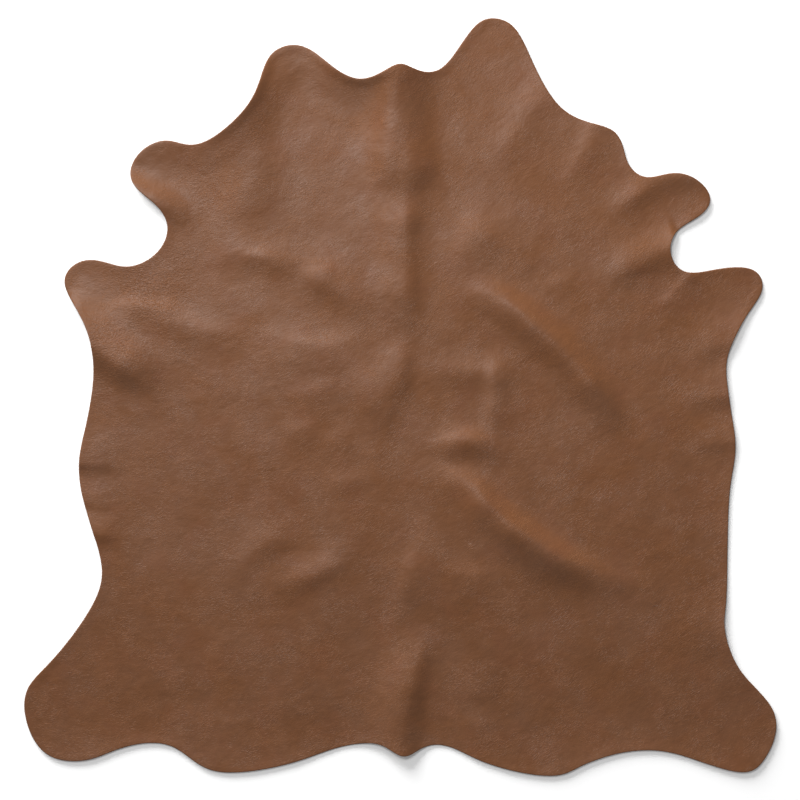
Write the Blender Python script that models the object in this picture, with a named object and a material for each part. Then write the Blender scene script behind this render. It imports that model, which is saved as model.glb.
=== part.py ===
"""Leather hide: one whole brown cowhide lying grain side up, its neck towards +Y.

The origin is the middle of the hide's box, on the surface that it lies on. Lengths are in metres.
The hide touches that surface wherever no fold or curled edge lifts it, and is flat there.
"""

from typing import NamedTuple

import bpy
import numpy as np
from mathutils.geometry import delaunay_2d_cdt

# Driving dimensions
HIDE_LENGTH = 2.10  # from the neck to the rump, along Y
LEATHER_THICKNESS = 0.0025
CURL_REACH = 0.070  # how far the curl of the edge runs into the hide
CONTACT_LIFT = 0.0006  # a calculated rise of less than this lies flat on the surface

# Fineness of the curves that the edge and the crests follow
EDGE_CURVE_STEPS = 24  # straight pieces between two points of an EDGE row
CREST_CURVE_POINTS = 16  # points from one point of a crest to the next

# Size of the facets
EDGE_STEP = 0.024  # between points along the cut edge
GRID_STEP = 0.044  # between points in the open hide
GRID_ROW_SHARE = 0.866  # distance between two rows of the grid, which makes its triangles even
GRID_GAP_SHARE = 0.6  # least distance from a grid point to a fold's points, as a share of the step
FOLD_STEP = 0.044  # between points along a fold
FOLD_GAP = 0.018  # least distance between the points of two folds
EDGE_GAP = 0.017  # least distance from the cut edge to a point inside
MERGE_DISTANCE = 1e-7  # points closer than this are one
FOOT = 1.5  # where a fold's foot lies, as a multiple of its reach

LEATHER_BROWN = (0.19, 0.09, 0.05, 1.0)
LEATHER_ROUGHNESS = 0.5


class EdgeRow(NamedTuple):
    """A stretch of the cut edge: how high it curls, and points (x, y) that it passes through."""

    name: str
    curl: float
    points: tuple


class Fold(NamedTuple):
    """A soft ridge: its height, its reach to the left and right of the crest (seen along the
    crest), the shares of its length over which it fades in and out, and points of the crest."""

    name: str
    height: float
    left: float
    right: float
    fade_in: float
    fade_out: float
    crest: tuple


# The cut edge, clockwise from the middle of the neck.
EDGE = (
    EdgeRow("neck nub", 0.003, ((0.000, 0.920),)),
    EdgeRow("right neck bay", 0.005, ((0.035, 0.910), (0.075, 0.900), (0.125, 0.920))),
    EdgeRow("right neck lobe", 0.005, ((0.205, 1.025), (0.255, 1.050), (0.305, 1.035), (0.340, 0.990))),
    EdgeRow("right neck slope", 0.003, ((0.375, 0.915),)),
    EdgeRow("right shoulder bay", 0.003, ((0.445, 0.805), (0.530, 0.760))),
    EdgeRow("right shoulder point", 0.004, ((0.595, 0.735), (0.620, 0.690))),
    EdgeRow("right shoulder notch", 0.004, ((0.635, 0.645), (0.680, 0.610))),
    EdgeRow("right upper foreleg", 0.007, ((0.755, 0.620), (0.825, 0.600), (0.860, 0.550), (0.835, 0.505))),
    EdgeRow("right foreleg notch", 0.005, ((0.770, 0.460), (0.750, 0.400), (0.785, 0.350))),
    EdgeRow("right lower foreleg", 0.006, ((0.855, 0.350), (0.935, 0.360), (0.990, 0.345), (1.005, 0.300))),
    EdgeRow("right flank bay", 0.006, ((0.965, 0.230), (0.920, 0.145), (0.905, 0.060))),
    EdgeRow("right belly", 0.005, ((0.930, -0.135), (0.915, -0.260), (0.905, -0.560))),
    EdgeRow("right hind bay", 0.007, ((0.900, -0.640), (0.930, -0.735), (0.980, -0.800))),
    EdgeRow("right hind leg", 0.007, ((1.035, -0.870), (1.040, -0.940), (1.010, -1.005), (0.960, -1.040))),
    EdgeRow("right rump bay", 0.006, ((0.800, -1.000), (0.700, -0.980), (0.600, -0.990))),
    EdgeRow("right rump lobe", 0.006, ((0.500, -1.025), (0.430, -1.050), (0.240, -1.015))),
    EdgeRow("right tail bay", 0.003, ((0.150, -0.975), (0.095, -0.965), (0.050, -0.980))),
    EdgeRow("tail nub", 0.004, ((0.010, -0.995),)),
    EdgeRow("left tail bay", 0.003, ((-0.040, -0.970), (-0.090, -0.960), (-0.180, -0.975))),
    EdgeRow("left rump lobe", 0.006, ((-0.300, -1.015), (-0.495, -1.040), (-0.570, -1.010))),
    EdgeRow("left rump bay", 0.006, ((-0.630, -0.970), (-0.705, -0.960), (-0.790, -0.980))),
    EdgeRow(
        "left hind leg", 0.006,
        ((-0.860, -1.005), (-0.945, -1.005), (-1.005, -0.965), (-1.040, -0.875)),
    ),
    EdgeRow(
        "left hind bay", 0.005,
        ((-1.030, -0.805), (-0.965, -0.730), (-0.840, -0.550), (-0.830, -0.450)),
    ),
    EdgeRow("left belly", 0.004, ((-0.865, -0.330), (-0.890, -0.200), (-0.870, -0.075))),
    EdgeRow("left flank bay", 0.004, ((-0.850, 0.060), (-0.860, 0.165), (-0.900, 0.250))),
    EdgeRow(
        "left lower foreleg", 0.004,
        ((-0.930, 0.320), (-0.905, 0.365), (-0.850, 0.380), (-0.785, 0.365)),
    ),
    EdgeRow(
        "left foreleg notch", 0.004,
        ((-0.735, 0.365), (-0.670, 0.405), (-0.645, 0.475), (-0.680, 0.535)),
    ),
    EdgeRow(
        "left upper foreleg", 0.007,
        ((-0.735, 0.585), (-0.745, 0.635), (-0.705, 0.690), (-0.640, 0.710)),
    ),
    EdgeRow("left shoulder bay", 0.003, ((-0.565, 0.700),)),
    EdgeRow("left neck slope", 0.022, ((-0.430, 0.795), (-0.385, 0.885))),
    EdgeRow("left neck lobe", 0.011, ((-0.355, 0.950), (-0.300, 0.975), (-0.245, 0.960))),
    EdgeRow("left neck bay", 0.021, ((-0.180, 0.910), (-0.110, 0.880), (-0.045, 0.900))),
)

# The main folds. A crest that starts or ends past the edge runs out over it at full height.
FOLDS = (
    # name, height, left, right, fade in, fade out, crest
    Fold(
        "neck ridge", 0.018, 0.090, 0.062, 0.42, 0.02,
        ((0.000, 0.420), (0.008, 0.600), (0.012, 0.720), (0.022, 1.050)),
    ),
    Fold(
        "neck side ridge", 0.008, 0.048, 0.042, 0.45, 0.02,
        ((-0.048, 0.540), (-0.036, 0.680), (-0.020, 0.820), (-0.004, 0.940), (0.000, 1.050)),
    ),
    Fold(
        "withers ridge", 0.011, 0.075, 0.042, 0.40, 0.24,
        ((0.020, 0.130), (0.010, 0.350), (0.006, 0.575)),
    ),
    Fold("back ridge", 0.005, 0.045, 0.030, 0.48, 0.48, ((-0.005, -0.020), (0.000, 0.080), (0.005, 0.190))),
    Fold(
        "loin ridge", 0.007, 0.040, 0.085, 0.45, 0.48,
        ((0.010, -0.660), (0.025, -0.560), (0.042, -0.460), (0.075, -0.395), (0.135, -0.345)),
    ),
    Fold(
        "tail ridge", 0.016, 0.085, 0.046, 0.02, 0.45,
        ((0.000, -1.080), (0.005, -0.940), (0.020, -0.825), (0.042, -0.730), (0.080, -0.600)),
    ),
    Fold(
        "loin fold", 0.011, 0.036, 0.042, 0.48, 0.48,
        ((0.055, -0.155), (0.140, -0.128), (0.210, -0.127), (0.320, -0.165)),
    ),
    Fold(
        "thigh fold", 0.018, 0.040, 0.054, 0.32, 0.46,
        (
            (0.040, -0.190), (0.185, -0.245), (0.250, -0.310), (0.310, -0.360), (0.440, -0.448),
            (0.600, -0.515), (0.740, -0.560),
        ),
    ),
    Fold(
        "thigh fold rise", 0.007, 0.034, 0.110, 0.45, 0.45,
        ((0.190, -0.245), (0.250, -0.308), (0.310, -0.358), (0.440, -0.446), (0.540, -0.490)),
    ),
    Fold(
        "flank arc", 0.020, 0.044, 0.054, 0.42, 0.30,
        ((0.090, 0.290), (0.220, 0.285), (0.310, 0.245), (0.450, 0.125), (0.545, 0.010), (0.640, -0.130)),
    ),
    Fold(
        "back fold", 0.0055, 0.038, 0.044, 0.45, 0.45,
        ((0.020, 0.088), (0.090, 0.078), (0.170, 0.068), (0.250, 0.070), (0.350, 0.105)),
    ),
    Fold("withers roll", 0.008, 0.060, 0.090, 0.45, 0.45, ((0.150, 0.290), (0.205, 0.435), (0.262, 0.560))),
    Fold(
        "upper shoulder fold", 0.006, 0.055, 0.044, 0.42, 0.32,
        ((-0.560, 0.395), (-0.450, 0.396), (-0.350, 0.380), (-0.260, 0.340)),
    ),
    Fold(
        "shoulder blade fold", 0.007, 0.066, 0.044, 0.42, 0.45,
        ((-0.330, 0.375), (-0.250, 0.343), (-0.160, 0.292), (-0.060, 0.200)),
    ),
    Fold(
        "lower shoulder fold", 0.006, 0.036, 0.090, 0.45, 0.36,
        ((-0.430, 0.165), (-0.305, 0.148), (-0.225, 0.138), (-0.155, 0.144), (-0.075, 0.170)),
    ),
    Fold(
        "foreleg crease", 0.005, 0.028, 0.060, 0.30, 0.45,
        ((-0.850, 0.228), (-0.760, 0.246), (-0.690, 0.240), (-0.580, 0.210), (-0.500, 0.180)),
    ),
    Fold(
        "left flank fold", 0.021, 0.085, 0.045, 0.14, 0.44,
        ((-0.970, 0.205), (-0.900, 0.172), (-0.845, 0.138), (-0.740, 0.068), (-0.640, 0.005)),
    ),
    Fold(
        "rump fold", 0.0065, 0.046, 0.040, 0.48, 0.42,
        ((-0.400, -0.540), (-0.280, -0.507), (-0.225, -0.485), (-0.165, -0.452), (-0.090, -0.400)),
    ),
    Fold(
        "rump swell", 0.004, 0.042, 0.036, 0.40, 0.45,
        ((-0.475, -0.560), (-0.445, -0.470), (-0.395, -0.420), (-0.320, -0.390), (-0.240, -0.370)),
    ),
    Fold(
        "left upper foreleg fold", 0.013, 0.045, 0.038, 0.02, 0.62,
        ((-0.790, 0.585), (-0.690, 0.548), (-0.620, 0.515), (-0.545, 0.470)),
    ),
    Fold(
        "shoulder roll", 0.012, 0.085, 0.090, 0.40, 0.04,
        (
            (-0.580, 0.478), (-0.520, 0.490), (-0.462, 0.515), (-0.420, 0.575), (-0.415, 0.645),
            (-0.450, 0.720), (-0.510, 0.800), (-0.600, 0.950),
        ),
    ),
    Fold(
        "right neck fold", 0.0045, 0.050, 0.050, 0.40, 0.05,
        ((0.240, 0.600), (0.335, 0.755), (0.375, 0.812), (0.430, 0.885)),
    ),
    Fold(
        "right shoulder fold", 0.0045, 0.032, 0.050, 0.42, 0.05,
        ((0.455, 0.560), (0.510, 0.680), (0.560, 0.780)),
    ),
    Fold(
        "right upper foreleg fold", 0.006, 0.034, 0.036, 0.38, 0.10,
        ((0.545, 0.490), (0.620, 0.540), (0.680, 0.577), (0.745, 0.605), (0.880, 0.622)),
    ),
    Fold(
        "right notch fold", 0.0085, 0.054, 0.042, 0.46, 0.05,
        ((0.530, 0.315), (0.600, 0.348), (0.650, 0.372), (0.700, 0.396), (0.780, 0.430)),
    ),
    Fold(
        "right flank fold", 0.005, 0.060, 0.034, 0.45, 0.25,
        ((0.760, 0.100), (0.850, 0.140), (0.930, 0.165), (1.020, 0.190)),
    ),
)


def clear_scene():
    for item in list(bpy.data.objects):
        bpy.data.objects.remove(item, do_unlink=True)


def spaced(curve, step):
    """The points of a polyline, moved along it to lie evenly, about a step apart."""
    lengths = np.linalg.norm(np.diff(curve[:, :2], axis=0), axis=1)
    travel = np.concatenate(([0.0], np.cumsum(lengths)))
    count = max(2, round(travel[-1] / step) + 1)
    stations = np.linspace(0.0, travel[-1], count)
    return np.stack([np.interp(stations, travel, column) for column in curve.T], axis=1)


def closed_curve(knots):
    """A fine polyline on the smooth closed cubic spline through the knots; its end repeats its start."""
    knots = np.asarray(knots)
    ahead = np.roll(knots, -1, axis=0)
    span = np.sqrt(np.linalg.norm((ahead - knots)[:, :2], axis=1))
    span_before = np.roll(span, 1)
    slope = (ahead - knots) / span[:, None]
    count = len(knots)
    index = np.arange(count)
    system = np.zeros((count, count))
    system[index, index - 1] = span_before
    system[index, index] = 2.0 * (span_before + span)
    system[index, (index + 1) % count] = span
    bend = np.linalg.solve(system, 6.0 * (slope - np.roll(slope, 1, axis=0)))
    bend_ahead = np.roll(bend, -1, axis=0)
    pieces = []
    for i in range(count):
        t = np.linspace(0.0, span[i], EDGE_CURVE_STEPS, endpoint=False)[:, None]
        back = span[i] - t
        pieces.append(
            (bend[i] * back**3 + bend_ahead[i] * t**3) / (6.0 * span[i])
            + (knots[i] / span[i] - bend[i] * span[i] / 6.0) * back
            + (ahead[i] / span[i] - bend_ahead[i] * span[i] / 6.0) * t
        )
    pieces.append(knots[:1])
    return np.concatenate(pieces)


def open_curve(knots):
    """A fine polyline on the Catmull-Rom curve through the knots."""
    knots = np.asarray(knots)
    first = 2.0 * knots[0] - knots[1]
    last = 2.0 * knots[-1] - knots[-2]
    knots = np.concatenate(([first], knots, [last]))
    t = np.linspace(0.0, 1.0, CREST_CURVE_POINTS)[:, None]
    pieces = [
        0.5 * (2 * b + (c - a) * t + (2 * a - 5 * b + 4 * c - d) * t**2 + (3 * b - a - 3 * c + d) * t**3)
        for a, b, c, d in zip(knots, knots[1:], knots[2:], knots[3:])
    ]
    return np.concatenate([pieces[0]] + [piece[1:] for piece in pieces[1:]])


def hide_edge():
    """The cut edge as x, y and curl, centred on the origin and HIDE_LENGTH long."""
    knots = [(x, y, row.curl) for row in EDGE for x, y in row.points]
    edge = closed_curve(knots)
    low, high = edge[:, :2].min(axis=0), edge[:, :2].max(axis=0)
    edge[:, :2] = (edge[:, :2] - (low + high) / 2.0) * HIDE_LENGTH / (high - low)[1]
    return edge


def smooth_step(t):
    t = np.clip(t, 0.0, 1.0)
    return t * t * (3.0 - 2.0 * t)


def nearest_on(curve, places):
    """For each place: its distance to the curve, the side it is on (positive to the left), and the
    share of the curve's length that leads to its nearest point."""
    runs = np.diff(curve, axis=0)
    lengths = np.linalg.norm(runs, axis=1)
    travel = np.concatenate(([0.0], np.cumsum(lengths))) / lengths.sum()
    distance = np.full(len(places), np.inf)
    side = np.zeros(len(places))
    along = np.zeros(len(places))
    for start, run, length, begin, end in zip(curve, runs, lengths, travel, travel[1:]):
        offset = places - start
        t = np.clip(offset @ run / length**2, 0.0, 1.0)
        gap = np.linalg.norm(offset - t[:, None] * run, axis=1)
        closer = gap < distance
        distance[closer] = gap[closer]
        side[closer] = (run[0] * offset[:, 1] - run[1] * offset[:, 0])[closer]
        along[closer] = (begin + t * (end - begin))[closer]
    return distance, side, along


def fold_lift(fold, places):
    distance, side, along = nearest_on(open_curve(fold.crest), places)
    reach = np.where(side > 0.0, fold.left, fold.right)
    ends = smooth_step(along / fold.fade_in) * smooth_step((1.0 - along) / fold.fade_out)
    return fold.height * ends * np.exp(-((distance / reach) ** 2))


def curl_lift(edge, places):
    """Height that the curl of the cut edge adds at each place, spread softly inwards from the edge."""
    rim = spaced(edge, EDGE_STEP / 2.0)
    spacing = np.linalg.norm(rim[1, :2] - rim[0, :2])
    gaps = np.linalg.norm(places[:, None] - rim[None, :-1, :2], axis=2)
    share = spacing / (CURL_REACH * np.sqrt(np.pi))
    return share * np.exp(-((gaps / CURL_REACH) ** 2)) @ rim[:-1, 2]


def hide_lift(edge, places):
    """Height of the hide's underside above the surface, which it doesn't pass through."""
    lift = curl_lift(edge, places) + sum(fold_lift(fold, places) for fold in FOLDS)
    return np.maximum(lift - CONTACT_LIFT, 0.0)


def is_inside(edge, places):
    """Whether each place lies within the closed edge, by the crossings of a line to its right."""
    x, y = places[:, 0], places[:, 1]
    inside = np.zeros(len(places), dtype=bool)
    for (x1, y1), (x2, y2) in zip(edge[:-1], edge[1:]):
        crosses = (y1 > y) != (y2 > y)
        if crosses.any():
            inside ^= crosses & (x < x1 + (y - y1) * (x2 - x1) / (y2 - y1))
    return inside


def clear_of(places, others, gap):
    """Those of the places that lie at least the gap from all the others."""
    distances = np.linalg.norm(places[:, None] - others[None], axis=2)
    return places[distances.min(axis=1) >= gap]


def fold_lines(fold):
    """Points along the crest and the two feet of a fold."""
    crest = spaced(open_curve(fold.crest), FOLD_STEP)
    heading = np.gradient(crest, axis=0)
    heading /= np.linalg.norm(heading, axis=1)[:, None]
    to_left = np.stack([-heading[:, 1], heading[:, 0]], axis=1)
    return np.concatenate(
        [crest, crest + FOOT * fold.left * to_left, crest - FOOT * fold.right * to_left]
    )


def grid_places(reach):
    """A grid of staggered rows that covers the square of the given half width."""
    row_step = GRID_STEP * GRID_ROW_SHARE
    rows = np.arange(-reach, reach, row_step)
    stations = np.arange(-reach, reach, GRID_STEP)
    return np.array([(x + GRID_STEP / 2 * (i % 2), y) for i, y in enumerate(rows) for x in stations])


def inner_places(edge):
    """The points inside the hide: along its folds first, then a grid in the space between."""
    kept = np.empty((0, 2))
    for fold in FOLDS:
        for place in fold_lines(fold):
            if not len(kept) or len(clear_of(place[None], kept, FOLD_GAP)):
                kept = np.concatenate((kept, place[None]))
    grid = clear_of(grid_places(HIDE_LENGTH / 2 + GRID_STEP), kept, GRID_GAP_SHARE * GRID_STEP)
    places = np.concatenate((kept, grid))
    places = places[is_inside(edge, places)]
    return clear_of(places, edge, EDGE_GAP)


def underside_mesh():
    """The underside of the hide as a mesh of triangles that ends at the cut edge."""
    edge = hide_edge()
    rim = spaced(edge, EDGE_STEP)[:-1, :2]
    places = np.concatenate((rim, inner_places(edge[:, :2])))
    rim_edges = [(i, (i + 1) % len(rim)) for i in range(len(rim))]
    places, _, triangles, *_ = delaunay_2d_cdt(
        places.tolist(), rim_edges, [], 0, MERGE_DISTANCE, False
    )
    places = np.array(places)
    triangles = np.array(triangles)
    middles = places[triangles].mean(axis=1)
    within = is_inside(np.concatenate((rim, rim[:1])), middles)
    mesh = bpy.data.meshes.new("hide")
    corners = np.column_stack((places, hide_lift(edge, places)))
    mesh.from_pydata(corners.tolist(), [], triangles[within].tolist())
    return mesh


def leather_material():
    material = bpy.data.materials.new("brown_leather")
    material.use_nodes = True
    shader = material.node_tree.nodes["Principled BSDF"]
    shader.inputs["Base Color"].default_value = LEATHER_BROWN
    shader.inputs["Roughness"].default_value = LEATHER_ROUGHNESS
    shader.inputs["Metallic"].default_value = 0.0
    return material


def make_hide():
    hide = bpy.data.objects.new("hide", underside_mesh())
    bpy.context.collection.objects.link(hide)
    hide.data.materials.append(leather_material())
    hide.data.shade_smooth()
    solidify = hide.modifiers.new("leather thickness", "SOLIDIFY")
    solidify.thickness = LEATHER_THICKNESS
    solidify.offset = 1.0
    solidify.use_even_offset = True
    return hide


clear_scene()
make_hide()
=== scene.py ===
"""Looks of the leather hide: a fine sheet on the CAD hide's outline and folds, with its finishes,
on a pale floor under soft light from the upper left, seen from straight above.

Lengths are in metres. The hide lies on the surface at height 0, grain side up, its neck towards +Y.
"""

import math

from typing import NamedTuple

import bpy
import numpy as np
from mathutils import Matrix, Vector, noise
from mathutils.geometry import delaunay_2d_cdt
from mathutils.kdtree import KDTree


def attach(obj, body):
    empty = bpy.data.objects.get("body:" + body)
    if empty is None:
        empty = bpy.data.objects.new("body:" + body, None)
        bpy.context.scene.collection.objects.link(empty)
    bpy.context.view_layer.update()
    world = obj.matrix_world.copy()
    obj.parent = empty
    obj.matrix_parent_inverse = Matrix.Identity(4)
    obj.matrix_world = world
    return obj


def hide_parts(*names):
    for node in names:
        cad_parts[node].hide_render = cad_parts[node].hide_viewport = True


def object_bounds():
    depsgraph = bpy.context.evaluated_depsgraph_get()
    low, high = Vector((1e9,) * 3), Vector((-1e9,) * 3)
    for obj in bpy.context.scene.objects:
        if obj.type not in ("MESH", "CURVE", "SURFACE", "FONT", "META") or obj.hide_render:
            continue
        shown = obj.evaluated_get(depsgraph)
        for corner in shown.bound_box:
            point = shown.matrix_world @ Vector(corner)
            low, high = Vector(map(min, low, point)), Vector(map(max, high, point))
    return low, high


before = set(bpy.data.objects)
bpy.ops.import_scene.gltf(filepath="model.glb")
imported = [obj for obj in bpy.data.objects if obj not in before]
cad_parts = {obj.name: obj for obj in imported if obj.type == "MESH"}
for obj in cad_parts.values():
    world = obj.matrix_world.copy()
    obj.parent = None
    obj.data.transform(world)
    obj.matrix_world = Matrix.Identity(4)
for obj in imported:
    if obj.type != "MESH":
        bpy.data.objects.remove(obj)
cad_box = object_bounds()

# The leather
LEATHER_THICKNESS = 0.0025
CURL_REACH = 0.070  # how far the curl of the edge runs into the hide
CURL_PARTS = ((CURL_REACH, 0.70), (0.018, 0.30))  # a broad and a tight part: reach, share of the curl
CURL_FOOT = 3.0  # where the curl has died out, as a multiple of its reach
FOLD_FOOT = 2.8  # where a fold has died out, as a multiple of its reach
CONTACT_LIFT = 0.0006  # a calculated rise of less than this lies flat on the surface
SETTLE = 0.0006  # half the range of rise over which the leather bends off the surface
FULL_LIFT = 0.0040  # from this rise on, the leather has its plain thickness
EDGE_RADIUS = 0.0018  # of the worn upper corner of the cut edge
EDGE_ARC_STEPS = 3  # faces over that corner
EDGE_BORDER = 0.0040  # from the cut edge to where the open grain begins

# Size of the mesh's faces
RIM_STEP = 0.0060
GRAIN_STEP = 0.0072
FLESH_STEP = 0.0180
ROW_SHARE = math.sqrt(3) / 2  # row spacing of equilateral triangles
RIM_SHARE = 0.6  # least gap between rim and grid, as a share of the grid's step
CURVE_POINTS = 24  # between two knots of a curve
NAP_STEPS = 400  # across the hide, for the run of the grain's fine lines
MERGE = 1e-7  # points closer than this are one
SHARP_ANGLE = math.radians(50)  # faces that meet at more than this aren't shaded as one
PLACES_AT_ONCE = 2000  # to measure from the rim, to spare memory

# Uneven ground of the open hide: size of the swells and their height
SWELLS = ((0.19, 0.0012), (0.080, 0.00060), (0.036, 0.00020))
FOLD_UNEVENNESS = 0.12  # how much a fold's height wavers along it
FOLD_WAVER = 0.11  # length over which it does


class EdgeRow(NamedTuple):
    """A stretch of the cut edge: how high it curls, and points (x, y) that it passes through."""

    name: str
    curl: float
    points: tuple


class Fold(NamedTuple):
    """A soft ridge: its height, its reach to the left and right of the crest (seen along the
    crest), the shares of its length over which it fades in and out, and points of the crest."""

    name: str
    height: float
    left: float
    right: float
    fade_in: float
    fade_out: float
    crest: tuple


class Patch(NamedTuple):
    """A round patch of the hide that fades out from its middle."""

    name: str
    strength: float
    radius: float
    middle: tuple


# The cut edge, clockwise from the middle of the neck, as in the CAD hide.
EDGE = (
    EdgeRow("neck nub", 0.003, ((0.000, 0.920),)),
    EdgeRow("right neck bay", 0.005, ((0.035, 0.910), (0.075, 0.900), (0.125, 0.920))),
    EdgeRow("right neck lobe", 0.005, ((0.205, 1.025), (0.255, 1.050), (0.305, 1.035), (0.340, 0.990))),
    EdgeRow("right neck slope", 0.003, ((0.375, 0.915),)),
    EdgeRow("right shoulder bay", 0.003, ((0.445, 0.805), (0.530, 0.760))),
    EdgeRow("right shoulder point", 0.004, ((0.595, 0.735), (0.620, 0.690))),
    EdgeRow("right shoulder notch", 0.004, ((0.635, 0.645), (0.680, 0.610))),
    EdgeRow("right upper foreleg", 0.007, ((0.755, 0.620), (0.825, 0.600), (0.860, 0.550), (0.835, 0.505))),
    EdgeRow("right foreleg notch", 0.005, ((0.770, 0.460), (0.750, 0.400), (0.785, 0.350))),
    EdgeRow("right lower foreleg", 0.006, ((0.855, 0.350), (0.935, 0.360), (0.990, 0.345), (1.005, 0.300))),
    EdgeRow("right flank bay", 0.006, ((0.965, 0.230), (0.920, 0.145), (0.905, 0.060))),
    EdgeRow("right belly", 0.005, ((0.930, -0.135), (0.915, -0.260), (0.905, -0.560))),
    EdgeRow("right hind bay", 0.007, ((0.900, -0.640), (0.930, -0.735), (0.980, -0.800))),
    EdgeRow("right hind leg", 0.007, ((1.035, -0.870), (1.040, -0.940), (1.010, -1.005), (0.960, -1.040))),
    EdgeRow("right rump bay", 0.006, ((0.800, -1.000), (0.700, -0.980), (0.600, -0.990))),
    EdgeRow("right rump lobe", 0.006, ((0.500, -1.025), (0.430, -1.050), (0.240, -1.015))),
    EdgeRow("right tail bay", 0.003, ((0.150, -0.975), (0.095, -0.965), (0.050, -0.980))),
    EdgeRow("tail nub", 0.004, ((0.010, -0.995),)),
    EdgeRow("left tail bay", 0.003, ((-0.040, -0.970), (-0.090, -0.960), (-0.180, -0.975))),
    EdgeRow("left rump lobe", 0.006, ((-0.300, -1.015), (-0.495, -1.040), (-0.570, -1.010))),
    EdgeRow("left rump bay", 0.006, ((-0.630, -0.970), (-0.705, -0.960), (-0.790, -0.980))),
    EdgeRow(
        "left hind leg", 0.006,
        ((-0.860, -1.005), (-0.945, -1.005), (-1.005, -0.965), (-1.040, -0.875)),
    ),
    EdgeRow(
        "left hind bay", 0.005,
        ((-1.030, -0.805), (-0.965, -0.730), (-0.840, -0.550), (-0.830, -0.450)),
    ),
    EdgeRow("left belly", 0.004, ((-0.865, -0.330), (-0.890, -0.200), (-0.870, -0.075))),
    EdgeRow("left flank bay", 0.004, ((-0.850, 0.060), (-0.860, 0.165), (-0.900, 0.250))),
    EdgeRow(
        "left lower foreleg", 0.004,
        ((-0.930, 0.320), (-0.905, 0.365), (-0.850, 0.380), (-0.785, 0.365)),
    ),
    EdgeRow(
        "left foreleg notch", 0.004,
        ((-0.735, 0.365), (-0.670, 0.405), (-0.645, 0.475), (-0.680, 0.535)),
    ),
    EdgeRow(
        "left upper foreleg", 0.007,
        ((-0.735, 0.585), (-0.745, 0.635), (-0.705, 0.690), (-0.640, 0.710)),
    ),
    EdgeRow("left shoulder bay", 0.003, ((-0.565, 0.700),)),
    EdgeRow("left neck slope", 0.022, ((-0.430, 0.795), (-0.385, 0.885))),
    EdgeRow("left neck lobe", 0.011, ((-0.355, 0.950), (-0.300, 0.975), (-0.245, 0.960))),
    EdgeRow("left neck bay", 0.021, ((-0.180, 0.910), (-0.110, 0.880), (-0.045, 0.900))),
)

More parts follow.
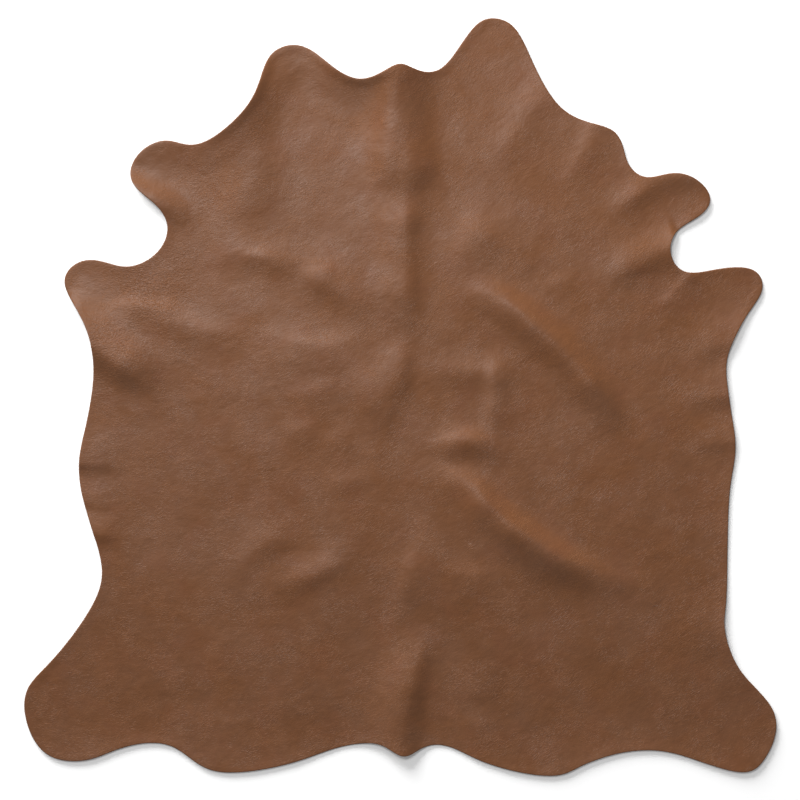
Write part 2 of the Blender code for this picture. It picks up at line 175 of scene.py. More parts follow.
# The main folds, as in the CAD hide.
FOLDS = (
    # name, height, left, right, fade in, fade out, crest
    Fold(
        "neck ridge", 0.018, 0.090, 0.062, 0.42, 0.02,
        ((0.000, 0.420), (0.008, 0.600), (0.012, 0.720), (0.022, 1.050)),
    ),
    Fold(
        "neck side ridge", 0.008, 0.048, 0.042, 0.45, 0.02,
        ((-0.048, 0.540), (-0.036, 0.680), (-0.020, 0.820), (-0.004, 0.940), (0.000, 1.050)),
    ),
    Fold(
        "withers ridge", 0.011, 0.075, 0.042, 0.40, 0.24,
        ((0.020, 0.130), (0.010, 0.350), (0.006, 0.575)),
    ),
    Fold("back ridge", 0.005, 0.045, 0.030, 0.48, 0.48, ((-0.005, -0.020), (0.000, 0.080), (0.005, 0.190))),
    Fold(
        "loin ridge", 0.007, 0.040, 0.085, 0.45, 0.48,
        ((0.010, -0.660), (0.025, -0.560), (0.042, -0.460), (0.075, -0.395), (0.135, -0.345)),
    ),
    Fold(
        "tail ridge", 0.016, 0.085, 0.046, 0.02, 0.45,
        ((0.000, -1.080), (0.005, -0.940), (0.020, -0.825), (0.042, -0.730), (0.080, -0.600)),
    ),
    Fold(
        "loin fold", 0.011, 0.036, 0.042, 0.48, 0.48,
        ((0.055, -0.155), (0.140, -0.128), (0.210, -0.127), (0.320, -0.165)),
    ),
    Fold(
        "thigh fold", 0.018, 0.040, 0.054, 0.32, 0.46,
        (
            (0.040, -0.190), (0.185, -0.245), (0.250, -0.310), (0.310, -0.360), (0.440, -0.448),
            (0.600, -0.515), (0.740, -0.560),
        ),
    ),
    Fold(
        "thigh fold rise", 0.007, 0.034, 0.110, 0.45, 0.45,
        ((0.190, -0.245), (0.250, -0.308), (0.310, -0.358), (0.440, -0.446), (0.540, -0.490)),
    ),
    Fold(
        "flank arc", 0.020, 0.044, 0.054, 0.42, 0.30,
        ((0.090, 0.290), (0.220, 0.285), (0.310, 0.245), (0.450, 0.125), (0.545, 0.010), (0.640, -0.130)),
    ),
    Fold(
        "back fold", 0.0055, 0.038, 0.044, 0.45, 0.45,
        ((0.020, 0.088), (0.090, 0.078), (0.170, 0.068), (0.250, 0.070), (0.350, 0.105)),
    ),
    Fold("withers roll", 0.008, 0.060, 0.090, 0.45, 0.45, ((0.150, 0.290), (0.205, 0.435), (0.262, 0.560))),
    Fold(
        "upper shoulder fold", 0.006, 0.055, 0.044, 0.42, 0.32,
        ((-0.560, 0.395), (-0.450, 0.396), (-0.350, 0.380), (-0.260, 0.340)),
    ),
    Fold(
        "shoulder blade fold", 0.007, 0.066, 0.044, 0.42, 0.45,
        ((-0.330, 0.375), (-0.250, 0.343), (-0.160, 0.292), (-0.060, 0.200)),
    ),
    Fold(
        "lower shoulder fold", 0.006, 0.036, 0.090, 0.45, 0.36,
        ((-0.430, 0.165), (-0.305, 0.148), (-0.225, 0.138), (-0.155, 0.144), (-0.075, 0.170)),
    ),
    Fold(
        "foreleg crease", 0.005, 0.028, 0.060, 0.30, 0.45,
        ((-0.850, 0.228), (-0.760, 0.246), (-0.690, 0.240), (-0.580, 0.210), (-0.500, 0.180)),
    ),
    Fold(
        "left flank fold", 0.021, 0.085, 0.045, 0.14, 0.44,
        ((-0.970, 0.205), (-0.900, 0.172), (-0.845, 0.138), (-0.740, 0.068), (-0.640, 0.005)),
    ),
    Fold(
        "rump fold", 0.0065, 0.046, 0.040, 0.48, 0.42,
        ((-0.400, -0.540), (-0.280, -0.507), (-0.225, -0.485), (-0.165, -0.452), (-0.090, -0.400)),
    ),
    Fold(
        "rump swell", 0.004, 0.042, 0.036, 0.40, 0.45,
        ((-0.475, -0.560), (-0.445, -0.470), (-0.395, -0.420), (-0.320, -0.390), (-0.240, -0.370)),
    ),
    Fold(
        "left upper foreleg fold", 0.013, 0.045, 0.038, 0.02, 0.62,
        ((-0.790, 0.585), (-0.690, 0.548), (-0.620, 0.515), (-0.545, 0.470)),
    ),
    Fold(
        "shoulder roll", 0.012, 0.085, 0.090, 0.40, 0.04,
        (
            (-0.580, 0.478), (-0.520, 0.490), (-0.462, 0.515), (-0.420, 0.575), (-0.415, 0.645),
            (-0.450, 0.720), (-0.510, 0.800), (-0.600, 0.950),
        ),
    ),
    Fold(
        "right neck fold", 0.0045, 0.050, 0.050, 0.40, 0.05,
        ((0.240, 0.600), (0.335, 0.755), (0.375, 0.812), (0.430, 0.885)),
    ),
    Fold(
        "right shoulder fold", 0.0045, 0.032, 0.050, 0.42, 0.05,
        ((0.455, 0.560), (0.510, 0.680), (0.560, 0.780)),
    ),
    Fold(
        "right upper foreleg fold", 0.006, 0.034, 0.036, 0.38, 0.10,
        ((0.545, 0.490), (0.620, 0.540), (0.680, 0.577), (0.745, 0.605), (0.880, 0.622)),
    ),
    Fold(
        "right notch fold", 0.0085, 0.054, 0.042, 0.46, 0.05,
        ((0.530, 0.315), (0.600, 0.348), (0.650, 0.372), (0.700, 0.396), (0.780, 0.430)),
    ),
    Fold(
        "right flank fold", 0.005, 0.060, 0.034, 0.45, 0.25,
        ((0.760, 0.100), (0.850, 0.140), (0.930, 0.165), (1.020, 0.190)),
    ),
)

# Smaller folds, creases and ripples, which only the fine sheet has.
CREASES = (
    # name, height, left, right, fade in, fade out, crest
    Fold(
        "back fold end", 0.010, 0.120, 0.072, 0.45, 0.45,
        ((-0.150, -0.035), (-0.050, -0.010), (0.040, -0.022)),
    ),
    Fold("flank tuck", 0.007, 0.030, 0.048, 0.45, 0.40, ((0.262, -0.140), (0.262, 0.000), (0.270, 0.145))),
    Fold(
        "withers cross", 0.002, 0.030, 0.050, 0.48, 0.48,
        ((-0.030, 0.500), (0.030, 0.505), (0.090, 0.520)),
    ),
    Fold("neck dip", 0.006, 0.090, 0.048, 0.45, 0.45, ((-0.010, 0.628), (0.055, 0.645), (0.130, 0.660))),
    Fold(
        "shoulder boss", 0.003, 0.035, 0.050, 0.48, 0.48,
        ((-0.290, 0.345), (-0.225, 0.335), (-0.160, 0.350)),
    ),
    Fold(
        "shoulder line", 0.0013, 0.013, 0.022, 0.40, 0.45,
        ((-0.455, 0.400), (-0.390, 0.394), (-0.320, 0.378)),
    ),
    Fold(
        "side streak 1", 0.003, 0.028, 0.060, 0.45, 0.45,
        ((-0.330, -0.005), (-0.230, 0.012), (-0.130, 0.045)),
    ),
    Fold(
        "side streak 2", 0.003, 0.026, 0.050, 0.45, 0.45,
        ((-0.350, -0.110), (-0.280, -0.095), (-0.200, -0.070)),
    ),
    Fold(
        "side streak 3", 0.003, 0.026, 0.050, 0.45, 0.45,
        ((-0.250, -0.135), (-0.180, -0.118), (-0.110, -0.085)),
    ),
    Fold(
        "side streak 4", 0.003, 0.026, 0.036, 0.45, 0.45,
        ((-0.220, -0.245), (-0.140, -0.235), (-0.070, -0.220)),
    ),
    Fold(
        "foreleg roll", 0.004, 0.030, 0.060, 0.48, 0.48,
        ((-0.720, 0.225), (-0.595, 0.190), (-0.485, 0.175), (-0.370, 0.160)),
    ),
    Fold(
        "foreleg line", 0.001, 0.014, 0.020, 0.40, 0.45,
        ((-0.780, 0.256), (-0.690, 0.256), (-0.560, 0.250)),
    ),
    Fold(
        "left upper foreleg rim", 0.004, 0.050, 0.052, 0.15, 0.35,
        ((-0.760, 0.640), (-0.720, 0.685), (-0.640, 0.700), (-0.565, 0.675), (-0.500, 0.610)),
    ),
    Fold(
        "left belly ripple 1", 0.006, 0.080, 0.024, 0.02, 0.62,
        ((-0.930, -0.175), (-0.835, -0.185), (-0.740, -0.195)),
    ),
    Fold(
        "left belly ripple 2", 0.003, 0.050, 0.022, 0.02, 0.50,
        ((-0.900, -0.285), (-0.850, -0.290), (-0.790, -0.310)),
    ),
    Fold(
        "left belly ripple 3", 0.006, 0.050, 0.026, 0.02, 0.55,
        ((-0.890, -0.370), (-0.840, -0.375), (-0.760, -0.390)),
    ),
    Fold(
        "right notch crease", 0.0025, 0.016, 0.040, 0.35, 0.05,
        ((0.700, 0.225), (0.755, 0.285), (0.815, 0.345)),
    ),
    Fold(
        "right shoulder nick", 0.002, 0.020, 0.050, 0.48, 0.48,
        ((0.380, 0.295), (0.440, 0.315), (0.510, 0.340)),
    ),
    Fold(
        "right flank ripple 1", 0.005, 0.060, 0.030, 0.45, 0.15,
        ((0.760, -0.015), (0.850, 0.000), (0.990, 0.015)),
    ),
    Fold(
        "right flank ripple 2", 0.004, 0.060, 0.030, 0.45, 0.15,
        ((0.780, -0.125), (0.860, -0.125), (0.990, -0.110)),
    ),
    Fold(
        "right hind fold", 0.004, 0.090, 0.080, 0.40, 0.10,
        ((0.720, -0.660), (0.830, -0.650), (1.000, -0.640)),
    ),
    Fold(
        "croup nick", 0.004, 0.028, 0.080, 0.45, 0.45,
        ((0.090, -0.485), (0.200, -0.495), (0.300, -0.505)),
    ),
    Fold(
        "rump ripple 1", 0.003, 0.070, 0.030, 0.48, 0.48,
        ((0.120, -0.810), (0.215, -0.815), (0.300, -0.825)),
    ),
    Fold(
        "rump ripple 2", 0.003, 0.035, 0.080, 0.48, 0.48,
        ((0.120, -0.920), (0.215, -0.915), (0.300, -0.905)),
    ),
)

# Where the grain is crinkled and takes a shine.
CRINKLES = (
    # name, strength, radius, middle
    Patch("left foreleg", 1.0, 0.130, (-0.700, 0.310)),
    Patch("left flank", 0.8, 0.120, (-0.800, 0.130)),
    Patch("left shoulder", 0.5, 0.120, (-0.520, 0.560)),
    Patch("left neck", 0.5, 0.090, (-0.430, 0.740)),
    Patch("right foreleg", 0.5, 0.110, (0.680, 0.360)),
    Patch("right hind leg", 0.5, 0.140, (0.840, -0.650)),
)

# The run of the grain's fine lines: (x, slope) across the hide, and the share by which the slopes
# grow for each metre towards the neck.
NAP_SLOPES = (
    (-1.05, -0.15), (-0.85, 0.00), (-0.60, 0.12), (-0.30, 0.25), (0.00, 0.35), (0.35, 0.40), (1.05, 0.45),
)
NAP_STEEPENING = 0.25

# Camera, straight above; its frame is FRAME_WIDTH wide on the floor.
FRAME_WIDTH = 2.218
FRAME_MIDDLE = (-0.001, -0.0085)
LENS = 100.0  # in millimetres
SENSOR = 36.0  # width, in millimetres

FLOOR_WIDTH = 24.0
FLOOR_GAP = 0.0003  # below the hide

# The lights, each a square one that faces the middle of the hide: width in metres, power in watts
KEY_PLACE = (-6.20, 12.20, 3.00)
KEY_WIDTH = 8.5
KEY_POWER = 7050.0
SHEEN_PLACE = (-1.75, 2.80, 6.60)
SHEEN_WIDTH = 2.0
SHEEN_POWER = 210.0
ROOM_BRIGHTNESS = 0.40

# The sheet's materials, in the order of its slots
GRAIN_SLOT, FLESH_SLOT, CUT_SLOT = 0, 1, 2

# Colours of the grain side
DEEP_BROWN = (0.088, 0.0325, 0.0112, 1.0)
BROWN = (0.126, 0.0478, 0.0168, 1.0)
# Paler brown towards the neck: painted light, standing in for light that falls stronger on the neck end than
# on the tail end
PAINTED_LIGHT_BROWN = (0.168, 0.0628, 0.0218, 1.0)
RED_BROWN = (0.127, 0.0418, 0.0168, 1.0)
PALE_STROKE = (0.210, 0.0950, 0.0480, 1.0)
STROKE_TURN = -0.38  # angle between the two sets of fine strokes
STROKE_SHIFT = 3.7  # between the patterns of the two sets, so that they differ

# Colours of the other surfaces
FLESH_BROWN = (0.17, 0.085, 0.048, 1.0)
PALE_FLESH = (0.27, 0.155, 0.095, 1.0)
FIBRE_TAN = (0.33, 0.21, 0.14, 1.0)
DARK_CUT = (0.060, 0.028, 0.016, 1.0)
PALE_CUT = (0.130, 0.068, 0.040, 1.0)
FLOOR_WHITE = (0.86, 0.86, 0.86, 1.0)

# Depths of the bumps of the leather's surfaces
PORE_DEPTH = 0.00010
STROKE_DEPTH = 0.00042
WRINKLE_DEPTH = 0.0018
MOTTLE_DEPTH = 0.0006
DAPPLE_DEPTH = 0.0014
FIBRE_DEPTH = 0.0008
LAYER_DEPTH = 0.0003

PORES_PER_METRE = 520.0
CRINKLE_POLISH = 0.06  # how much less rough the crinkled patches are

# Numbers of a mix node's colour sockets
MIX_FIRST, MIX_SECOND, MIX_RESULT = 6, 7, 2


# Curves and places in plan


def closed_curve(knots):
    """A fine polyline on the smooth closed cubic spline through the knots; its end repeats its start."""
    ahead = np.roll(knots, -1, axis=0)
    span = np.sqrt(np.linalg.norm((ahead - knots)[:, :2], axis=1))
    span_before = np.roll(span, 1)
    slope = (ahead - knots) / span[:, None]
    count = len(knots)
    index = np.arange(count)
    system = np.zeros((count, count))
    system[index, index - 1] = span_before
    system[index, index] = 2.0 * (span_before + span)
    system[index, (index + 1) % count] = span
    bend = np.linalg.solve(system, 6.0 * (slope - np.roll(slope, 1, axis=0)))
    bend_ahead = np.roll(bend, -1, axis=0)
    pieces = []
    for i in range(count):
        t = np.linspace(0.0, span[i], CURVE_POINTS, endpoint=False)[:, None]
        back = span[i] - t
        pieces.append(
            (bend[i] * back**3 + bend_ahead[i] * t**3) / (6.0 * span[i])
            + (knots[i] / span[i] - bend[i] * span[i] / 6.0) * back
            + (ahead[i] / span[i] - bend_ahead[i] * span[i] / 6.0) * t
        )
    pieces.append(knots[:1])
    return np.concatenate(pieces)


def open_curve(knots):
    """A fine polyline on the Catmull-Rom curve through the knots."""
    knots = np.asarray(knots)
    first = 2.0 * knots[0] - knots[1]
    last = 2.0 * knots[-1] - knots[-2]
    knots = np.concatenate(([first], knots, [last]))
    t = np.linspace(0.0, 1.0, CURVE_POINTS)[:, None]
    pieces = [
        0.5 * (2 * b + (c - a) * t + (2 * a - 5 * b + 4 * c - d) * t**2 + (3 * b - a - 3 * c + d) * t**3)
        for a, b, c, d in zip(knots, knots[1:], knots[2:], knots[3:])
    ]
    return np.concatenate([pieces[0]] + [piece[1:] for piece in pieces[1:]])


def spaced(curve, step):
    """The points of a polyline, moved along it to lie evenly, about a step apart."""
    lengths = np.linalg.norm(np.diff(curve[:, :2], axis=0), axis=1)
    travel = np.concatenate(([0.0], np.cumsum(lengths)))
    count = max(2, round(travel[-1] / step) + 1)
    stations = np.linspace(0.0, travel[-1], count)
    return np.stack([np.interp(stations, travel, column) for column in curve.T], axis=1)


def smooth_step(t):
    t = np.clip(t, 0.0, 1.0)
    return t * t * (3.0 - 2.0 * t)


def nearest_on(curve, places):
    """For each place: its distance to the curve, the side it is on (positive to the left), and the
    share of the curve's length that leads to its nearest point."""
    runs = np.diff(curve, axis=0)
    lengths = np.linalg.norm(runs, axis=1)
    travel = np.concatenate(([0.0], np.cumsum(lengths))) / lengths.sum()
    distance = np.full(len(places), np.inf)
    side = np.zeros(len(places))
    along = np.zeros(len(places))
    for start, run, length, begin, end in zip(curve, runs, lengths, travel, travel[1:]):
        offset = places - start
        t = np.clip(offset @ run / length**2, 0.0, 1.0)
        gap = np.linalg.norm(offset - t[:, None] * run, axis=1)
        closer = gap < distance
        distance[closer] = gap[closer]
        side[closer] = (run[0] * offset[:, 1] - run[1] * offset[:, 0])[closer]
        along[closer] = (begin + t * (end - begin))[closer]
    return distance, side, along


def nearest_points(points, places):
    """For each place: which of the points is nearest, and how far it is."""
    tree = KDTree(len(points))
    for i, (x, y) in enumerate(points):
        tree.insert((x, y, 0.0), i)
    tree.balance()
    found = [tree.find((x, y, 0.0)) for x, y in places]
    return np.array([i for _, i, _ in found]), np.array([gap for _, _, gap in found])


def is_inside(loop, places):
    """Whether each place lies within the closed loop, by the crossings of a line to its right."""
    x, y = places[:, 0], places[:, 1]
    inside = np.zeros(len(places), dtype=bool)
    for (x1, y1), (x2, y2) in zip(loop, np.roll(loop, -1, axis=0)):
        crosses = (y1 > y) != (y2 > y)
        if crosses.any():
            inside ^= crosses & (x < x1 + (y - y1) * (x2 - x1) / (y2 - y1))
    return inside


def hide_edge():
    """The cut edge as x, y and curl, fitted to the CAD hide's box."""
    edge = closed_curve(np.array([(x, y, row.curl) for row in EDGE for x, y in row.points]))
    low, high = edge[:, :2].min(axis=0), edge[:, :2].max(axis=0)
    cad_low, cad_high = np.array(cad_box)[:, :2]
    scale = (cad_high - cad_low)[1] / (high - low)[1]
    edge[:, :2] = (edge[:, :2] - (low + high) / 2.0) * scale + (cad_low + cad_high) / 2.0
    return edge


# Heights


def fold_lift(fold, places):
    """Height that a fold adds at each place."""
    crest = open_curve(fold.crest)
    faded_out = FOLD_FOOT * max(fold.left, fold.right)
    low, high = crest.min(axis=0) - faded_out, crest.max(axis=0) + faded_out
    near = ((places > low) & (places < high)).all(axis=1)
    distance, side, along = nearest_on(crest, places[near])
    reach = np.where(side > 0.0, fold.left, fold.right)
    ends = smooth_step(along / fold.fade_in) * smooth_step((1.0 - along) / fold.fade_out)
    lift = np.zeros(len(places))
    lift[near] = fold.height * ends * np.exp(-((distance / reach) ** 2))
    return lift


def curl_lift(edge, places):
    """Height that the curl of the cut edge adds at each place, spread softly inwards from the edge."""
    rim, curl = edge[:-1, :2], edge[:-1, 2]
    spacing = np.linalg.norm(edge[1, :2] - edge[0, :2])
    _, distance = nearest_points(rim, places)
    near = np.flatnonzero(distance < CURL_FOOT * CURL_REACH)
    lift = np.zeros(len(places))
    for some in np.array_split(near, len(near) // PLACES_AT_ONCE + 1):
        gaps = ((places[some, None] - rim) ** 2).sum(axis=2)
        for reach, share in CURL_PARTS:
            weight = share * spacing / (reach * math.sqrt(math.pi))
            lift[some] += weight * np.exp(-gaps / reach**2) @ curl
    return lift


def noise_over(places, size):
    """Smooth noise of about -1 to 1, with its features about size metres wide."""
    return np.array([noise.noise(Vector((x / size, y / size, 0.0))) for x, y in places])


def free_lift(edge, places):
    """Rise of the leather at each place, before the surface below it stops it."""
    folds = sum(fold_lift(fold, places) for fold in FOLDS + CREASES)
    folds *= 1.0 + FOLD_UNEVENNESS * noise_over(places, FOLD_WAVER)
    swells = sum(height * noise_over(places, size) for size, height in SWELLS)
    return curl_lift(edge, places) + folds + swells


def underside(lift):
    """Height of the flesh side: it bends softly off the surface and never passes through it."""
    lift = lift - CONTACT_LIFT
    bending = (lift + SETTLE) ** 2 / (4.0 * SETTLE)
    return np.where(lift > SETTLE, lift, np.where(lift > -SETTLE, bending, 0.0))


def grain_side(lift):
    """Height of the grain side: the leather is a little uneven in thickness where it lies flat."""
    return LEATHER_THICKNESS + lift - CONTACT_LIFT * smooth_step(lift / FULL_LIFT)


# The sheet


def inset_loop(loop, inset):
    """The closed, clockwise loop moved inwards."""
    heading = np.roll(loop, -1, axis=0) - np.roll(loop, 1, axis=0)
    heading /= np.linalg.norm(heading, axis=1)[:, None]
    to_right = np.stack([heading[:, 1], -heading[:, 0]], axis=1)
    return loop + inset * to_right


def grid_within(loop, step):
    """Staggered rows of places inside the loop, clear of it by a share of their step."""
    low, high = loop.min(axis=0), loop.max(axis=0)
    rows = np.arange(low[1], high[1], step * ROW_SHARE)
    stations = np.arange(low[0], high[0], step)
    grid = np.array([(x + step / 2 * (i % 2), y) for i, y in enumerate(rows) for x in stations])
    grid = grid[is_inside(loop, grid)]
    _, gaps = nearest_points(loop, grid)
    return grid[gaps > RIM_SHARE * step]


def filled(loop, step):
    """Places and triangles that fill the loop; the first places are the loop's own."""
    places = np.concatenate((loop, grid_within(loop, step)))
    rim_edges = [(i, (i + 1) % len(loop)) for i in range(len(loop))]
    places, _, triangles, *_ = delaunay_2d_cdt(places.tolist(), rim_edges, [], 0, MERGE, False)
    places, triangles = np.array(places), np.array(triangles)
    across_bays = (triangles < len(loop)).all(axis=1)
    across_bays[across_bays] = ~is_inside(loop, places[triangles[across_bays]].mean(axis=1))
    return places, triangles[~across_bays]


def nap_coordinates(places):
    """For each place: how far it lies along the grain's fine lines, and across them."""
    x, y = places.T
    knots_x, knots_slope = np.array(NAP_SLOPES).T
    fine_x = np.linspace(knots_x[0], knots_x[-1], NAP_STEPS)
    slope = np.interp(fine_x, knots_x, knots_slope)
    rise = np.cumsum(slope) * (fine_x[1] - fine_x[0])
    across = y - np.interp(x, fine_x, rise) * (1.0 + NAP_STEEPENING * y)
    return np.column_stack((x, across, np.zeros(len(places))))


def patch_strength(patches, places):
    """The strongest of the patches at each place, from 0 to 1."""
    strength = np.zeros(len(places))
    for patch in patches:
        distance = np.linalg.norm(places - patch.middle, axis=1)
        strength = np.maximum(strength, patch.strength * np.exp(-((distance / patch.radius) ** 2)))
    return strength


def sheet_mesh():
    """The whole sheet: its grain side, the rounded cut edge, and its flesh side."""
    edge = spaced(hide_edge(), RIM_STEP)
    rim = edge[:-1, :2]
    count = len(rim)
    turns = np.linspace(0.0, math.pi / 2, EDGE_ARC_STEPS + 1)
    profile = [(0.0, LEATHER_THICKNESS)]
    profile += [(EDGE_RADIUS * (1 - math.cos(a)), EDGE_RADIUS * (1 - math.sin(a))) for a in turns]
    loops = [(inset_loop(rim, inset), drop) for inset, drop in profile]
    border = inset_loop(rim, EDGE_BORDER)
    grain, grain_faces = filled(border, GRAIN_STEP)
    flesh, flesh_faces = filled(rim, FLESH_STEP)
    flesh = flesh[count:]  # its rim is the lowest loop of the profile

    places = np.concatenate([loop for loop, _ in loops] + [grain, flesh])
    drops = np.concatenate([np.full(count, drop) for _, drop in loops] + [np.zeros(len(grain) + len(flesh))])
    lift = free_lift(edge, places)
    heights = grain_side(lift) - drops
    below = np.arange(len(places)) >= len(places) - len(flesh)
    below[:count] = True
    heights[below] = underside(lift[below])
    corners = np.column_stack((places, heights))

    ahead = np.roll(np.arange(count), -1)
    here = np.arange(count)
    strips = len(loops)  # the last strip joins the profile to the border of the grain
    faces, slots = [], []
    for k in range(strips):
        low, high = k * count, (k + 1) * count
        quads = np.stack([here + low, ahead + low, ahead + high, here + high], axis=1)[:, ::-1]
        faces += quads.tolist()
        slots += [CUT_SLOT if k == 0 else GRAIN_SLOT] * count
    grain_start = strips * count
    flesh_start = grain_start + len(grain)
    flesh_faces = np.where(flesh_faces < count, flesh_faces, flesh_faces - count + flesh_start)
    faces += (grain_faces + grain_start).tolist()
    slots += [GRAIN_SLOT] * len(grain_faces)
    faces += flesh_faces[:, ::-1].tolist()
    slots += [FLESH_SLOT] * len(flesh_faces)

    mesh = bpy.data.meshes.new("hide_sheet")
    mesh.from_pydata(corners.tolist(), [], faces)
    mesh.polygons.foreach_set("material_index", slots)
    nap = mesh.attributes.new("nap", "FLOAT_VECTOR", "POINT")
    nap.data.foreach_set("vector", nap_coordinates(places).ravel())
    crinkle = mesh.attributes.new("crinkle", "FLOAT", "POINT")
    crinkle.data.foreach_set("value", patch_strength(CRINKLES, places))
    mesh.shade_smooth()
    mesh.set_sharp_from_angle(angle=SHARP_ANGLE)
    return mesh


# Materials


def new_material(name):
    """A material with its node tree and its Principled shader."""
    material = bpy.data.materials.new(name)
    material.use_nodes = True
    return material, material.node_tree, material.node_tree.nodes["Principled BSDF"]


def add_node(tree, kind, inputs=None, **settings):
    """A new node. Each input is a value, or a socket to link from."""
    node = tree.nodes.new(kind)
    for name, value in settings.items():
        setattr(node, name, value)
    for name, value in (inputs or {}).items():
        if isinstance(value, bpy.types.NodeSocket):
            tree.links.new(value, node.inputs[name])
        else:
            node.inputs[name].default_value = value
    return node


def noise_at(tree, vector, scale, detail=2.0, roughness=0.5, distortion=0.0):
    """Noise of about 0 to 1 with its features about 1 / scale metres wide."""
    inputs = {"Vector": vector, "Scale": scale, "Detail": detail}
    inputs.update({"Roughness": roughness, "Distortion": distortion})
    return add_node(tree, "ShaderNodeTexNoise", inputs).outputs["Fac"]


def stretched(tree, vector, scale):
    return add_node(tree, "ShaderNodeMapping", {"Vector": vector, "Scale": scale}).outputs["Vector"]


def remapped(tree, value, low, high, to_low, to_high):
    """The value, taken from one range to another and held at its ends."""
    inputs = {"Value": value, "From Min": low, "From Max": high, "To Min": to_low, "To Max": to_high}
    return add_node(tree, "ShaderNodeMapRange", inputs).outputs["Result"]


def combined(tree, operation, first, second):
    return add_node(tree, "ShaderNodeMath", {0: first, 1: second}, operation=operation).outputs["Value"]


def combined_vectors(tree, operation, first, second):
    return add_node(tree, "ShaderNodeVectorMath", {0: first, 1: second}, operation=operation).outputs[0]


def mixed(tree, factor, first, second):
    """Two colours mixed by the factor."""
    inputs = {"Factor": factor, MIX_FIRST: first, MIX_SECOND: second}
    return add_node(tree, "ShaderNodeMix", inputs, data_type="RGBA").outputs[MIX_RESULT]


def bumped(tree, height, distance, under=None):
    """A normal bumped by the height, which is distance metres for 1, on top of another normal."""
    inputs = {"Height": height, "Distance": distance, "Strength": 1.0}
    if under is not None:
        inputs["Normal"] = under
    return add_node(tree, "ShaderNodeBump", inputs).outputs["Normal"]


def wandering(tree, vector, scale, amount):
    """The vector, moved about softly, so that what follows it bends."""
    inputs = {"Vector": vector, "Scale": scale, "Detail": 2.0}
    drift = add_node(tree, "ShaderNodeTexNoise", inputs).outputs["Color"]
    drift = combined_vectors(tree, "SUBTRACT", drift, (0.5, 0.5, 0.5))
    step = combined_vectors(tree, "MULTIPLY", drift, (amount,) * 3)
    return combined_vectors(tree, "ADD", vector, step)


def strokes(tree, nap, place, turn, seed):
    """Short fine strokes along the nap, turned by an angle, in some patches and not in others."""
    bent = wandering(tree, nap, scale=28.0, amount=0.022)
    inputs = {"Vector": bent, "Location": (seed, seed, 0.0), "Rotation": (0.0, 0.0, turn)}
    turned = add_node(tree, "ShaderNodeMapping", inputs).outputs["Vector"]
    lines = noise_at(tree, stretched(tree, turned, (105.0, 310.0, 1.0)), 1.0, detail=2.0, roughness=0.6)
    inputs = {"Vector": place, "Location": (seed, -seed, 0.0)}
    shifted = add_node(tree, "ShaderNodeMapping", inputs).outputs["Vector"]
    patches = remapped(tree, noise_at(tree, shifted, 11.0, detail=3.0, roughness=0.6), 0.44, 0.62, 0.08, 1.0)
    return combined(tree, "MULTIPLY", remapped(tree, lines, 0.50, 0.76, 0.0, 1.0), patches)


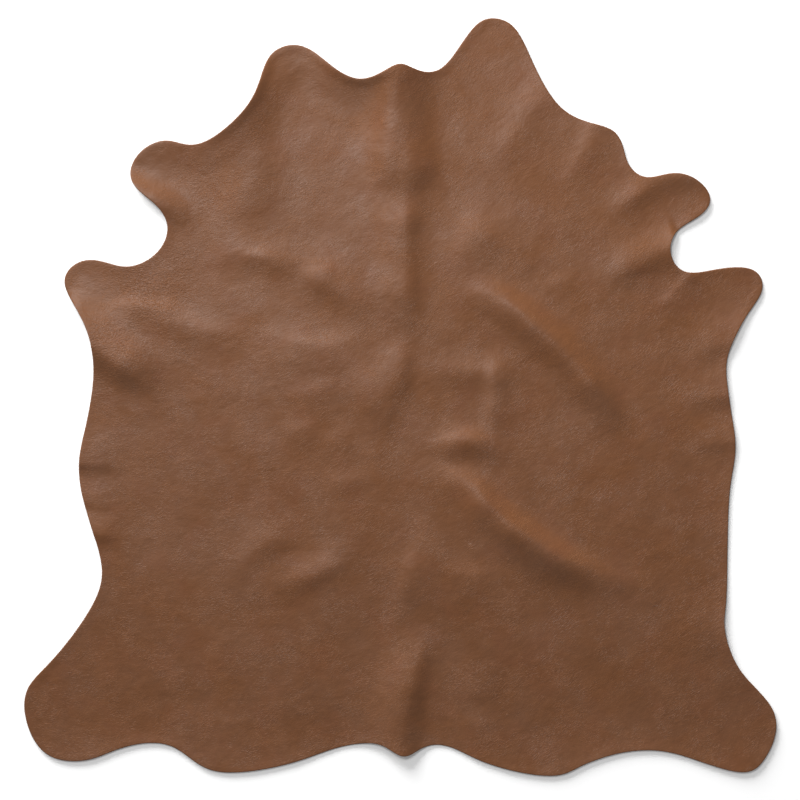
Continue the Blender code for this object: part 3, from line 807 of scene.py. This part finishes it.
def grain_material():
    """The tanned grain side: brown, softly mottled, with short fine strokes along its nap."""
    material, tree, shader = new_material("leather_grain_side")
    place = add_node(tree, "ShaderNodeTexCoord").outputs["Object"]
    nap = add_node(tree, "ShaderNodeAttribute", attribute_name="nap").outputs["Vector"]
    crinkle = add_node(tree, "ShaderNodeAttribute", attribute_name="crinkle").outputs["Fac"]

    broad = noise_at(tree, place, 2.4, detail=3.0)
    cloud = noise_at(tree, place, 13.0, detail=4.0, roughness=0.6, distortion=0.4)
    blush = noise_at(tree, place, 9.0, detail=4.0, roughness=0.6, distortion=0.6)
    bent_nap = wandering(tree, nap, scale=9.0, amount=0.05)
    mottle = noise_at(tree, stretched(tree, bent_nap, (32.0, 54.0, 1.0)), 1.0, detail=3.0, roughness=0.6)
    straight_strokes = strokes(tree, nap, place, 0.0, 0.0)
    turned_strokes = strokes(tree, nap, place, STROKE_TURN, STROKE_SHIFT)
    fine = combined(tree, "MAXIMUM", straight_strokes, turned_strokes)
    wrinkle = noise_at(tree, stretched(tree, nap, (85.0, 150.0, 1.0)), 1.0, detail=4.0, distortion=1.6)
    dapple = noise_at(tree, place, 17.0, detail=4.0, roughness=0.5, distortion=0.5)
    waxed = noise_at(tree, place, 6.0, detail=4.0, roughness=0.6, distortion=0.5)
    inputs = {"Vector": place, "Scale": PORES_PER_METRE}
    pores = add_node(tree, "ShaderNodeTexVoronoi", inputs).outputs["Distance"]

    broad_shade = remapped(tree, broad, 0.3, 0.7, 0.0, 0.3)
    cloud_shade = remapped(tree, cloud, 0.3, 0.7, 0.0, 0.3)
    shade = combined(tree, "ADD", broad_shade, cloud_shade)
    shade = combined(tree, "ADD", shade, remapped(tree, mottle, 0.3, 0.7, 0.0, 0.4))
    colour = mixed(tree, shade, DEEP_BROWN, BROWN)
    # Painted light: the grain is mixed towards a paler brown along the hide towards the neck, standing in
    # for light that falls stronger there
    along_hide = add_node(tree, "ShaderNodeSeparateXYZ", {"Vector": place}).outputs["Y"]
    painted_light_towards_neck = remapped(tree, along_hide, -0.9, 1.0, 0.0, 0.48)
    colour = mixed(tree, painted_light_towards_neck, colour, PAINTED_LIGHT_BROWN)
    reddish = remapped(tree, blush, 0.48, 0.70, 0.0, 0.25)
    colour = mixed(tree, reddish, colour, RED_BROWN)
    pale_lines = remapped(tree, fine, 0.0, 1.0, 0.0, 0.40)
    colour = mixed(tree, pale_lines, colour, PALE_STROKE)
    tree.links.new(colour, shader.inputs["Base Color"])

    rough = remapped(tree, cloud, 0.3, 0.7, 0.34, 0.45)
    rough = combined(tree, "SUBTRACT", rough, combined(tree, "MULTIPLY", crinkle, CRINKLE_POLISH))
    tree.links.new(rough, shader.inputs["Roughness"])
    shader.inputs["IOR"].default_value = 1.5
    tree.links.new(remapped(tree, waxed, 0.35, 0.65, 0.27, 0.48), shader.inputs["Specular IOR Level"])

    normal = bumped(tree, pores, PORE_DEPTH)
    normal = bumped(tree, fine, STROKE_DEPTH, normal)
    normal = bumped(tree, combined(tree, "MULTIPLY", wrinkle, crinkle), WRINKLE_DEPTH, normal)
    normal = bumped(tree, mottle, MOTTLE_DEPTH, normal)
    normal = bumped(tree, dapple, DAPPLE_DEPTH, normal)
    tree.links.new(normal, shader.inputs["Normal"])
    return material


def flesh_material():
    """The flesh side: paler, matt and fibrous."""
    material, tree, shader = new_material("leather_flesh_side")
    place = add_node(tree, "ShaderNodeTexCoord").outputs["Object"]
    cloud = noise_at(tree, place, 9.0, detail=4.0, roughness=0.6)
    fibre = noise_at(tree, stretched(tree, place, (160.0, 420.0, 1.0)), 1.0, detail=3.0, distortion=1.5)
    colour = mixed(tree, cloud, FLESH_BROWN, PALE_FLESH)
    colour = mixed(tree, remapped(tree, fibre, 0.35, 0.7, 0.0, 0.5), colour, FIBRE_TAN)
    tree.links.new(colour, shader.inputs["Base Color"])
    shader.inputs["Roughness"].default_value = 0.92
    tree.links.new(bumped(tree, fibre, FIBRE_DEPTH), shader.inputs["Normal"])
    return material


def cut_material():
    """The raw cut edge: dark, with the fibres of the leather's layers along it."""
    material, tree, shader = new_material("leather_cut_edge")
    place = add_node(tree, "ShaderNodeTexCoord").outputs["Object"]
    layers = noise_at(tree, stretched(tree, place, (90.0, 90.0, 1800.0)), 1.0, detail=3.0)
    colour = mixed(tree, layers, DARK_CUT, PALE_CUT)
    tree.links.new(colour, shader.inputs["Base Color"])
    shader.inputs["Roughness"].default_value = 0.8
    tree.links.new(bumped(tree, layers, LAYER_DEPTH), shader.inputs["Normal"])
    return material


def floor_material():
    material, _, shader = new_material("pale_floor")
    shader.inputs["Base Color"].default_value = FLOOR_WHITE
    shader.inputs["Roughness"].default_value = 0.9
    shader.inputs["Specular IOR Level"].default_value = 0.1
    return material


# The scene


def link(thing):
    bpy.context.scene.collection.objects.link(thing)
    return thing


def make_hide():
    hide = link(bpy.data.objects.new("hide_sheet", sheet_mesh()))
    for material in (grain_material(), flesh_material(), cut_material()):
        hide.data.materials.append(material)
    return hide


def make_floor():
    half = FLOOR_WIDTH / 2
    corners = [(-half, -half), (half, -half), (half, half), (-half, half)]
    height = cad_box[0].z - FLOOR_GAP
    mesh = bpy.data.meshes.new("floor")
    mesh.from_pydata([(x, y, height) for x, y in corners], [], [(0, 1, 2, 3)])
    mesh.materials.append(floor_material())
    return link(bpy.data.objects.new("floor", mesh))


def make_light(name, place, width, power, mirrored=True):
    """A square soft light that faces the middle of the hide, mirrored in its gloss or not."""
    data = bpy.data.lights.new(name, "AREA")
    data.size = width
    data.energy = power
    light = link(bpy.data.objects.new(name, data))
    light.location = place
    light.visible_camera = False
    light.visible_glossy = mirrored
    light.rotation_euler = (-Vector(place)).to_track_quat("-Z", "Y").to_euler()


def make_world(strength):
    world = bpy.data.worlds.new("studio")
    world.use_nodes = True
    background = world.node_tree.nodes["Background"]
    background.inputs["Color"].default_value = (1.0, 1.0, 1.0, 1.0)
    background.inputs["Strength"].default_value = strength
    bpy.context.scene.world = world


def make_camera():
    """A long lens straight above the hide, with the neck at the top of its picture."""
    data = bpy.data.cameras.new("camera")
    data.lens = LENS
    data.sensor_width = SENSOR
    camera = link(bpy.data.objects.new("camera", data))
    camera.location = (*FRAME_MIDDLE, FRAME_WIDTH * LENS / SENSOR)
    bpy.context.scene.camera = camera


bpy.context.scene.view_settings.view_transform = "Standard"

hide = make_hide()
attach(hide, "root")
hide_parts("hide")

floor = make_floor()

make_light("key", KEY_PLACE, KEY_WIDTH, KEY_POWER, mirrored=False)
make_light("sheen", SHEEN_PLACE, SHEEN_WIDTH, SHEEN_POWER)
make_world(ROOM_BRIGHTNESS)
make_camera()
